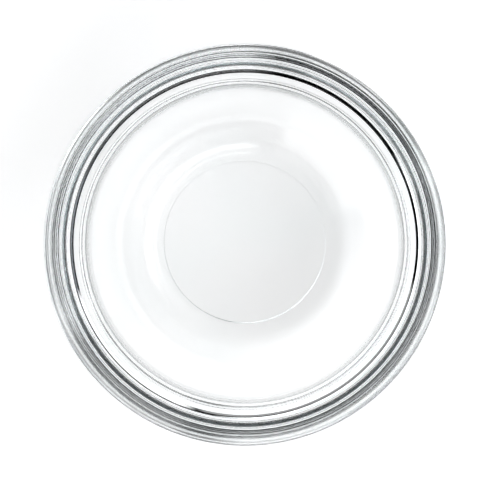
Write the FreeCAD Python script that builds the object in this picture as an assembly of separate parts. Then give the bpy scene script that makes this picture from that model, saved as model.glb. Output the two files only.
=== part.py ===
"""Round dish of clear pressed glass, for crystallizing and evaporating.

The whole dish is one piece of glass, so it is one solid in one node. Its shape is a full turn of
one closed outline about +Z. From the axis outwards the cavity has a flat floor, a soft heel, a
steep wall, a narrow stacking ledge that rises a little outwards, a band and a rounded rim. Outside,
the rim's bead stands out past a thick band. The band's rounded foot hangs below the ledge, with a
shallow hollow between it and the wall. The underside has a shallow recess, so that the dish stands
on a flat ring.

Units are millimetres. The origin is on the axis, in the plane that the dish stands on, and +Z
points out of the mouth.
"""

import FreeCAD
import Part

import math
import os

# Driving dimensions.
HEIGHT = 86.0
RIM_RADIUS = 96.0
BAND_RADIUS = 93.0
BAND_WALL = 5.0
LEDGE_RADIUS = 81.5
LEDGE_TOP = 68.5
LEDGE_RISE = 2.0
LEDGE_UNDERSIDE = 58.5
FOOT_DROP = 4.5
WALL = 3.0
FLOOR_TOP = 5.5
BASE_RADIUS = 49.5
BASE_RECESS = 0.4

# The cavity's outline from the axis to the rim, each corner as (radius from axis, height, fillet).
# The wall draws in by 4 mm from the ledge down to the heel, and the band is a little hollow inside.
CAVITY = [
    (0.0, FLOOR_TOP, 0.0),
    (BASE_RADIUS + 1.5, FLOOR_TOP, 20.0),
    (LEDGE_RADIUS - 4.0, 22.0, 48.0),
    (LEDGE_RADIUS, LEDGE_TOP, 1.0),
    (BAND_RADIUS - BAND_WALL - 1.0, LEDGE_TOP + LEDGE_RISE, 1.5),
    (BAND_RADIUS - BAND_WALL, HEIGHT - 7.0, 2.0),
    (BAND_RADIUS - BAND_WALL - 1.0, HEIGHT, 1.0),
]

# The outside's outline from the rim back to the axis: the bead, the band and its foot, the hollow
# under the ledge, the wall, and the ring that the dish stands on.
OUTSIDE = [
    (RIM_RADIUS - 5.0, HEIGHT, 2.0),
    (RIM_RADIUS, HEIGHT - 1.5, 1.5),
    (RIM_RADIUS, HEIGHT - 5.5, 1.0),
    (BAND_RADIUS - 0.5, HEIGHT - 7.5, 1.0),
    (BAND_RADIUS, LEDGE_UNDERSIDE - FOOT_DROP, 2.5),
    (LEDGE_RADIUS + 5.0, LEDGE_UNDERSIDE, 1.5),
    (LEDGE_RADIUS + WALL - 1.0, LEDGE_UNDERSIDE, 1.5),
    (LEDGE_RADIUS - 4.0 + WALL, 16.5, 52.0),
    (BASE_RADIUS, 0.0, 12.0),
    (BASE_RADIUS - 4.0, 0.0, 0.4),
    (BASE_RADIUS - 4.5, BASE_RECESS, 0.4),
    (0.0, BASE_RECESS, 0.0),
]


def fillet_points(before, corner, after, radius):
    """Where an arc of that radius leaves each leg of the corner, and the middle of the arc."""
    to_before = (before - corner).normalize()
    to_after = (after - corner).normalize()
    half_angle = to_before.getAngle(to_after) / 2
    reach = radius / math.tan(half_angle)
    inwards = (to_before + to_after).normalize()
    middle = corner + inwards * (radius / math.sin(half_angle) - radius)
    return corner + to_before * reach, middle, corner + to_after * reach


def rounded_outline(corners):
    """A closed face in the XZ plane through the corners, each rounded by its own fillet."""
    points = [FreeCAD.Vector(radius, 0.0, height) for radius, height, _ in corners]
    edges = []
    start = points[0]
    for index in range(1, len(points) - 1):
        fillet = corners[index][2]
        if fillet == 0.0:
            edges.append(Part.LineSegment(start, points[index]).toShape())
            start = points[index]
            continue
        first, middle, last = fillet_points(
            points[index - 1], points[index], points[index + 1], fillet
        )
        if (first - start).Length > 1e-6:
            edges.append(Part.LineSegment(start, first).toShape())
        edges.append(Part.Arc(first, middle, last).toShape())
        start = last
    edges.append(Part.LineSegment(start, points[-1]).toShape())
    edges.append(Part.LineSegment(points[-1], points[0]).toShape())
    return Part.Face(Part.Wire(edges))


def dish():
    """The glass as one solid of revolution."""
    outline = rounded_outline(CAVITY + OUTSIDE)
    return outline.revolve(FreeCAD.Vector(0, 0, 0), FreeCAD.Vector(0, 0, 1), 360.0)


def main():
    os.makedirs("parts", exist_ok=True)
    glass = dish()
    glass.exportStep("parts/dish.step")
    print("volume cm3", round(glass.Volume / 1000.0, 1), "valid", glass.isValid())


main()
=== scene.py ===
"""The looks of a crystallizing dish of clear pressed glass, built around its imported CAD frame.

The dish is one piece of glass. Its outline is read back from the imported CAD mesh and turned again
as a fine, even lathe mesh, so that light bends through it without facets, and the mesh gets the
slight unevenness that a mould and a plunger leave in the glass.
Everything is in metres, in the frame's own axes: the dish stands on z = 0 and opens upwards.
"""

import math

import bmesh
import bpy
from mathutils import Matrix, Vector


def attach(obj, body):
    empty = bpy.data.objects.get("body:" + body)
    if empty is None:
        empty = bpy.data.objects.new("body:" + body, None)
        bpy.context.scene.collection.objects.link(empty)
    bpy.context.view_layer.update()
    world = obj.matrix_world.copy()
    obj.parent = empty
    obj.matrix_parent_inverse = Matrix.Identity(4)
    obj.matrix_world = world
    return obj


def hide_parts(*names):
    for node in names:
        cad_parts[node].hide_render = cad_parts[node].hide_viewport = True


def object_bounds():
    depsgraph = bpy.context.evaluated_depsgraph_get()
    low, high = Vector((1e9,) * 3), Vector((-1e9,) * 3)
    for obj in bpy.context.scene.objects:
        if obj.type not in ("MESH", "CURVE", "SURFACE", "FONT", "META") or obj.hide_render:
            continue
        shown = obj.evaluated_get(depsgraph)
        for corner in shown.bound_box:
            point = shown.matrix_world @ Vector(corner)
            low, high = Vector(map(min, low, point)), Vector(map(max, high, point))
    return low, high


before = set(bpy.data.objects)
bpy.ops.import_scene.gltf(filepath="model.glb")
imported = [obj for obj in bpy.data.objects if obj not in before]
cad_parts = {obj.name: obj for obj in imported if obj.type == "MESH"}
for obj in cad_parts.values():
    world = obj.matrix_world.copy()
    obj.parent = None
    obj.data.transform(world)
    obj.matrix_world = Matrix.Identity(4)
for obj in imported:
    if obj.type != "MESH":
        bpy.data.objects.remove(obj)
cad_low, cad_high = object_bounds()

NODE = "dish"
RIM_RADIUS = cad_high.x
HEIGHT = cad_high.z
MM = 0.001

# The lathe mesh: how many columns stand round the dish, and how fine its rings are.
COLUMNS = 480
RING_SPACING = 1.2 * MM
RING_TURN = math.radians(4.0)

# How deep the ripple and the seeds in the glass's skin are, and how high its scuffs reach.
RIPPLE_DEPTH = 0.004 * MM
SEED_DEPTH = 0.02 * MM
SCUFF_HEIGHT = 0.5 * MM

# The glass: index of refraction, then the tint and the density of its depth.
GLASS_INDEX = 1.52
GLASS_TINT = (0.76, 0.90, 0.93, 1.0)
GLASS_DENSITY = 4.0

# The seam of the CAD surfaces lies in the half-plane y = 0, x > 0.
ON_SEAM = 1e-7


# ------------------------------------------------------------------ outline of the glass

def place_key(place):
    """A place in the seam's half-plane, rounded to a micrometre, to look its normal up by."""
    return round(place.x * 1e6), round(place.z * 1e6)


def seam_normals(mesh):
    """The mean surface normal at each of the mesh's vertices on the seam, by place."""
    normals = {}
    for loop in mesh.loops:
        place = mesh.vertices[loop.vertex_index].co
        if abs(place.y) < ON_SEAM and place.x > ON_SEAM:
            normal = normals.setdefault(place_key(place), Vector())
            normal += mesh.corner_normals[loop.index].vector
    return normals


def cut_outline(mesh):
    """The seam's vertices in order, from the axis in the cavity to the axis under the base."""
    bm = bmesh.new()
    bm.from_mesh(mesh)
    bmesh.ops.remove_doubles(bm, verts=bm.verts, dist=ON_SEAM)
    for normal, clear in (((0.0, 1.0, 0.0), False), ((1.0, 0.0, 0.0), True)):
        whole = bm.verts[:] + bm.edges[:] + bm.faces[:]
        bmesh.ops.bisect_plane(
            bm, geom=whole, dist=ON_SEAM, plane_co=(0.0, 0.0, 0.0), plane_no=normal, clear_inner=clear
        )
    seam = [edge for edge in bm.edges if all(abs(vert.co.y) < ON_SEAM for vert in edge.verts)]
    ends = {vert for edge in seam for vert in edge.verts if vert.co.x < ON_SEAM}
    here = max(ends, key=lambda vert: vert.co.z)
    order = [here.co.copy()]
    left = set(seam)
    while left:
        step = next((edge for edge in here.link_edges if edge in left), None)
        if step is None:
            break
        left.remove(step)
        here = step.other_vert(here)
        order.append(here.co.copy())
    bm.free()
    return order


def curve(start, leaving, end, arriving):
    """Places and directions along a cubic from start to end, without start: an arc stays an arc."""
    chord = (end - start).length
    turn = leaving.angle(arriving)
    reach = chord / (3.0 * math.cos(turn / 4.0) ** 2)
    first, second = start + leaving * reach, end - arriving * reach
    count = max(math.ceil(chord / RING_SPACING), math.ceil(turn / RING_TURN), 1)
    steps = []
    for step in range(1, count + 1):
        t = step / count
        u = 1.0 - t
        place = start * u**3 + first * (3 * u * u * t) + second * (3 * u * t * t) + end * t**3
        onwards = (first - start) * u * u + (second - first) * (2 * u * t) + (end - second) * t * t
        steps.append((place, onwards.normalized()))
    return steps


def smooth_outline(mesh):
    """The outline as (place, direction) pairs, its arcs filled in from the CAD surface's normals."""
    normals = seam_normals(mesh)
    order = cut_outline(mesh)
    knots = [(order[0], Vector((1.0, 0.0, 0.0)))]
    for place in order[1:-1]:
        normal = normals.get(place_key(place))
        if normal is not None:
            knots.append((place, Vector((normal.z, 0.0, -normal.x)).normalized()))
    knots.append((order[-1], Vector((-1.0, 0.0, 0.0))))
    outline = [knots[0]]
    for (start, leaving), (end, arriving) in zip(knots, knots[1:]):
        outline += curve(start, leaving, end, arriving)
    return outline


# ------------------------------------------------------------------ the glass

def unevenness(angle, height):
    """How far the glass stands inside its true radius there, in metres, and never outside it."""
    up = height / HEIGHT
    slow = 0.5 + 0.5 * math.sin(2.0 * angle + 0.7)
    quick = 0.5 + 0.5 * math.sin(5.0 * angle + 2.0 + 3.0 * up)
    return (0.05 * slow + 0.02 * quick) * MM * up


def lathe(name, outline):
    """A closed mesh of the outline turned round +Z, with one vertex at each end on the axis.

    Its normals come from the outline, not from its faces, so that long flat stretches stay flat
    right up to the small arcs beside them.
    """
    verts = [outline[0][0]]
    normals = [Vector((0.0, 0.0, 1.0))]
    for place, along in outline[1:-1]:
        for column in range(COLUMNS):
            angle = 2.0 * math.pi * column / COLUMNS
            radius = min(place.x, RIM_RADIUS) - unevenness(angle, place.z)
            cos, sin = math.cos(angle), math.sin(angle)
            verts.append(Vector((radius * cos, radius * sin, min(place.z, HEIGHT))))
            normals.append(Vector((-along.z * cos, -along.z * sin, along.x)))
    verts.append(outline[-1][0])
    normals.append(Vector((0.0, 0.0, -1.0)))
    faces = []
    rings = len(outline) - 2
    for column in range(COLUMNS):
        beside = (column + 1) % COLUMNS
        faces.append((0, 1 + column, 1 + beside))
        for ring in range(rings - 1):
            here = 1 + ring * COLUMNS
            out = here + COLUMNS
            faces.append((here + column, out + column, out + beside, here + beside))
        last = 1 + (rings - 1) * COLUMNS
        faces.append((last + column, len(verts) - 1, last + beside))
    mesh = bpy.data.meshes.new(name)
    mesh.from_pydata(verts, [], faces)
    mesh.shade_smooth()
    mesh.normals_split_custom_set_from_vertices(normals)
    mesh.update()
    piece = bpy.data.objects.new(name, mesh)
    bpy.context.scene.collection.objects.link(piece)
    return piece


def link_noise(tree, scale, detail, vector):
    """A noise texture of that scale, in turns per metre, read at the object's own place."""
    noise = tree.nodes.new("ShaderNodeTexNoise")
    noise.inputs["Scale"].default_value = scale
    noise.inputs["Detail"].default_value = detail
    tree.links.new(vector, noise.inputs["Vector"])
    return noise.outputs["Fac"]


def link_range(tree, value, low, high, to_low, to_high):
    """The value carried from one range to another, and held at that range's ends."""
    spread = tree.nodes.new("ShaderNodeMapRange")
    for socket, number in (
        ("From Min", low), ("From Max", high), ("To Min", to_low), ("To Max", to_high)
    ):
        spread.inputs[socket].default_value = number
    tree.links.new(value, spread.inputs["Value"])
    return spread.outputs["Result"]


def link_math(tree, operation, first, second):
    """That math operation on one or two values, each a socket or a number."""
    node = tree.nodes.new("ShaderNodeMath")
    node.operation = operation
    for socket, value in zip(node.inputs, (first, second)):
        if isinstance(value, float):
            socket.default_value = value
        else:
            tree.links.new(value, socket)
    return node.outputs[0]


def link_bump(tree, height, strength, depth, onto=None):
    """A bump of that depth in metres, over another bump's normal where one is given."""
    bump = tree.nodes.new("ShaderNodeBump")
    bump.inputs["Strength"].default_value = strength
    bump.inputs["Distance"].default_value = depth
    tree.links.new(height, bump.inputs["Height"])
    if onto is not None:
        tree.links.new(onto, bump.inputs["Normal"])
    return bump.outputs["Normal"]


def glass_material():
    """Clear soda-lime glass: faintly blue-green in depth, rippled and seeded, scuffed underneath."""
    material = bpy.data.materials.new("pressed_clear_glass")
    material.use_nodes = True
    tree = material.node_tree
    shader = tree.nodes["Principled BSDF"]
    shader.inputs["Transmission Weight"].default_value = 1.0
    shader.inputs["IOR"].default_value = GLASS_INDEX
    place = tree.nodes.new("ShaderNodeTexCoord").outputs["Object"]

    # Colour: almost none at the skin, with slow pale streaks of the melt.
    streaks = tree.nodes.new("ShaderNodeValToRGB")
    streaks.color_ramp.elements[0].position = 0.3
    streaks.color_ramp.elements[0].color = (0.975, 0.988, 0.988, 1.0)
    streaks.color_ramp.elements[1].position = 0.6
    streaks.color_ramp.elements[1].color = (1.0, 1.0, 1.0, 1.0)
    tree.links.new(link_noise(tree, 18.0, 2.0, place), streaks.inputs["Fac"])
    tree.links.new(streaks.outputs["Color"], shader.inputs["Base Color"])
    depth = tree.nodes.new("ShaderNodeVolumeAbsorption")
    depth.inputs["Color"].default_value = GLASS_TINT
    depth.inputs["Density"].default_value = GLASS_DENSITY
    tree.links.new(depth.outputs[0], tree.nodes["Material Output"].inputs["Volume"])

    # Roughness: fire-polished all over, but rubbed dull where the base ring stands on the bench.
    split = tree.nodes.new("ShaderNodeSeparateXYZ")
    tree.links.new(place, split.inputs[0])
    underside = link_range(tree, split.outputs["Z"], 0.0, SCUFF_HEIGHT, 1.0, 0.0)
    rubs = link_range(tree, link_noise(tree, 900.0, 4.0, place), 0.5, 0.7, 0.0, 0.22)
    tree.links.new(link_math(tree, "MULTIPLY", underside, rubs), shader.inputs["Roughness"])

    # Skin: the plunger's slow ripple, and a few seeds, tiny bubbles that opened at the surface.
    ripple = link_bump(tree, link_noise(tree, 32.0, 2.0, place), 0.5, RIPPLE_DEPTH)
    seeds = tree.nodes.new("ShaderNodeTexVoronoi")
    seeds.inputs["Scale"].default_value = 28.0
    tree.links.new(place, seeds.inputs["Vector"])
    pits = link_range(tree, seeds.outputs["Distance"], 0.0, 0.012, 0.0, 1.0)
    skin = link_bump(tree, pits, 0.6, SEED_DEPTH, onto=ripple)
    tree.links.new(skin, shader.inputs["Normal"])
    return material


glass = lathe("dish_glass", smooth_outline(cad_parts[NODE].data))
glass.data.materials.append(glass_material())
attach(glass, "root")
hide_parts(NODE)


# ------------------------------------------------------------------ stage, light and camera

# Camera: distance from the rim in metres, lean in degrees, the rim's radius as a share of half the
# picture's width, and how far the aim lies off the axis in metres.
CAMERA_DISTANCE = 0.475
CAMERA_LEAN = 1.4
RIM_SHARE = 0.8216
FRAME_OFFSET = (0.0006, -0.0001)

# The studio's even light by elevation, in degrees and linear RGB.
STUDIO_BANDS = (
    (-90.0, (0.8, 0.8, 0.8)),
    (-1.0, (0.8, 0.8, 0.8)),
    (0.0, (0.1, 0.1, 0.1)),
    (8.0, (0.0, 0.0, 0.0)),
    (90.0, (0.0, 0.0, 0.0)),
)

# The studio's soft panels: azimuth from +X towards +Y, elevation, half width, half height and half
# the width of the soft edge, all in degrees, then the linear RGB brightness.
STUDIO_PANELS = (
    (325.0, 46.0, 60.0, 9.0, 5.0, (3.6, 3.65, 3.7)),
    (300.0, 14.0, 45.0, 6.0, 2.0, (0.4, 0.4, 0.4)),
    (225.0, 14.0, 26.0, 17.0, 3.0, (1.8, 1.8, 1.8)),
    (180.0, 27.0, 22.0, 8.0, 3.0, (0.2, 0.22, 0.25)),
)

# The table top: its radius, how far it lies under the dish, and the strength of its own light.
FLOOR_RADIUS = 3.0
FLOOR_DROP = 0.05 * MM
FLOOR_GLOW = 0.82


def floor_material():
    """Matt white acrylic, lit a little from below as on a shooting table, with a faint mottle."""
    material = bpy.data.materials.new("white_acrylic")
    material.use_nodes = True
    tree = material.node_tree
    shader = tree.nodes["Principled BSDF"]
    shader.inputs["Roughness"].default_value = 0.75
    shader.inputs["Specular IOR Level"].default_value = 0.0
    place = tree.nodes.new("ShaderNodeTexCoord")
    mottle = tree.nodes.new("ShaderNodeTexNoise")
    mottle.inputs["Scale"].default_value = 6.0
    mottle.inputs["Detail"].default_value = 3.0
    shade = tree.nodes.new("ShaderNodeValToRGB")
    shade.color_ramp.elements[0].color = (0.86, 0.865, 0.87, 1.0)
    shade.color_ramp.elements[1].color = (0.89, 0.89, 0.89, 1.0)
    tree.links.new(place.outputs["Object"], mottle.inputs["Vector"])
    tree.links.new(mottle.outputs["Fac"], shade.inputs["Fac"])
    tree.links.new(shade.outputs["Color"], shader.inputs["Base Color"])
    tree.links.new(shade.outputs["Color"], shader.inputs["Emission Color"])
    shader.inputs["Emission Strength"].default_value = FLOOR_GLOW
    return material


def white_floor():
    """The round top of the shooting table, just under the dish."""
    mesh = bpy.data.meshes.new("table_top")
    bm = bmesh.new()
    bmesh.ops.create_circle(bm, cap_ends=True, segments=128, radius=FLOOR_RADIUS)
    bm.to_mesh(mesh)
    bm.free()
    table = bpy.data.objects.new("table_top", mesh)
    table.location.z = -FLOOR_DROP
    bpy.context.scene.collection.objects.link(table)
    mesh.materials.append(floor_material())


def link_panel(tree, direction, azimuth, elevation, half_width, half_height, edge):
    """How much of a soft-edged panel of the studio lies that way, from 0 to 1; angles in degrees."""
    facing = tree.nodes.new("ShaderNodeVectorRotate")
    facing.rotation_type = "Z_AXIS"
    facing.inputs["Angle"].default_value = math.radians(-azimuth)
    tree.links.new(direction, facing.inputs["Vector"])
    split = tree.nodes.new("ShaderNodeSeparateXYZ")
    tree.links.new(facing.outputs[0], split.inputs[0])
    aside = link_math(tree, "ARCTAN2", split.outputs["Y"], split.outputs["X"])
    above = link_math(tree, "ARCSINE", split.outputs["Z"], 0.0)
    shares = []
    for angle, middle, half in ((aside, 0.0, half_width), (above, elevation, half_height)):
        apart = link_math(tree, "SUBTRACT", angle, math.radians(middle))
        apart = link_math(tree, "ABSOLUTE", apart, 0.0)
        inner, outer = math.radians(half - edge), math.radians(half + edge)
        shares.append(link_range(tree, apart, inner, outer, 1.0, 0.0))
    return link_math(tree, "MULTIPLY", *shares)


def link_bands(tree, height):
    """The studio's even light by height above the horizon."""
    along = link_range(tree, height, -1.0, 1.0, 0.0, 1.0)
    bands = tree.nodes.new("ShaderNodeValToRGB")
    ramp = bands.color_ramp
    while len(ramp.elements) > 1:
        ramp.elements.remove(ramp.elements[0])
    for index, (elevation, color) in enumerate(STUDIO_BANDS):
        spot = 0.5 + 0.5 * math.sin(math.radians(elevation))
        stop = ramp.elements[0] if index == 0 else ramp.elements.new(spot)
        stop.position = spot
        stop.color = (*color, 1.0)
    tree.links.new(along, bands.inputs["Fac"])
    return bands.outputs["Color"]


def studio_world():
    """A studio dark above the horizon, with a few broad soft panels of light.

    The dark between them gives clear glass its lines. The camera itself sees white paper instead.
    """
    world = bpy.data.worlds.new("studio")
    bpy.context.scene.world = world
    world.use_nodes = True
    tree = world.node_tree
    tree.nodes.clear()
    direction = tree.nodes.new("ShaderNodeTexCoord").outputs["Generated"]
    split = tree.nodes.new("ShaderNodeSeparateXYZ")
    tree.links.new(direction, split.inputs[0])
    light = tree.nodes.new("ShaderNodeBackground")
    tree.links.new(link_bands(tree, split.outputs["Z"]), light.inputs["Color"])
    light = light.outputs[0]
    for *shape, color in STUDIO_PANELS:
        panel = tree.nodes.new("ShaderNodeBackground")
        panel.inputs["Color"].default_value = (*color, 1.0)
        tree.links.new(link_panel(tree, direction, *shape), panel.inputs["Strength"])
        both = tree.nodes.new("ShaderNodeAddShader")
        tree.links.new(light, both.inputs[0])
        tree.links.new(panel.outputs[0], both.inputs[1])
        light = both.outputs[0]
    paper = tree.nodes.new("ShaderNodeBackground")
    paper.inputs["Color"].default_value = (1.0, 1.0, 1.0, 1.0)
    choice = tree.nodes.new("ShaderNodeMixShader")
    rays = tree.nodes.new("ShaderNodeLightPath")
    tree.links.new(rays.outputs["Is Camera Ray"], choice.inputs["Fac"])
    tree.links.new(light, choice.inputs[1])
    tree.links.new(paper.outputs[0], choice.inputs[2])
    output = tree.nodes.new("ShaderNodeOutputWorld")
    tree.links.new(choice.outputs[0], output.inputs["Surface"])


def place_camera():
    """Almost straight above the mouth, leaning a little towards -Y, as the photograph was taken."""
    camera = bpy.data.cameras.new("camera")
    holder = bpy.data.objects.new("camera", camera)
    bpy.context.scene.collection.objects.link(holder)
    bpy.context.scene.camera = holder
    lean = math.radians(CAMERA_LEAN)
    aim = Vector((FRAME_OFFSET[0], FRAME_OFFSET[1], HEIGHT))
    holder.location = aim + CAMERA_DISTANCE * Vector((0.0, math.sin(lean), math.cos(lean)))
    holder.rotation_euler = (-lean, 0.0, 0.0)
    half_view = math.atan(RIM_RADIUS / RIM_SHARE / CAMERA_DISTANCE)
    camera.sensor_width = 36.0
    camera.lens = 18.0 / math.tan(half_view)
    camera.clip_start = 0.01
    camera.clip_end = 50.0


white_floor()
studio_world()
place_camera()

scene = bpy.context.scene
scene.view_settings.view_transform = "Standard"
scene.cycles.max_bounces = 32
scene.cycles.transmission_bounces = 32
scene.cycles.glossy_bounces = 24
scene.cycles.diffuse_bounces = 4
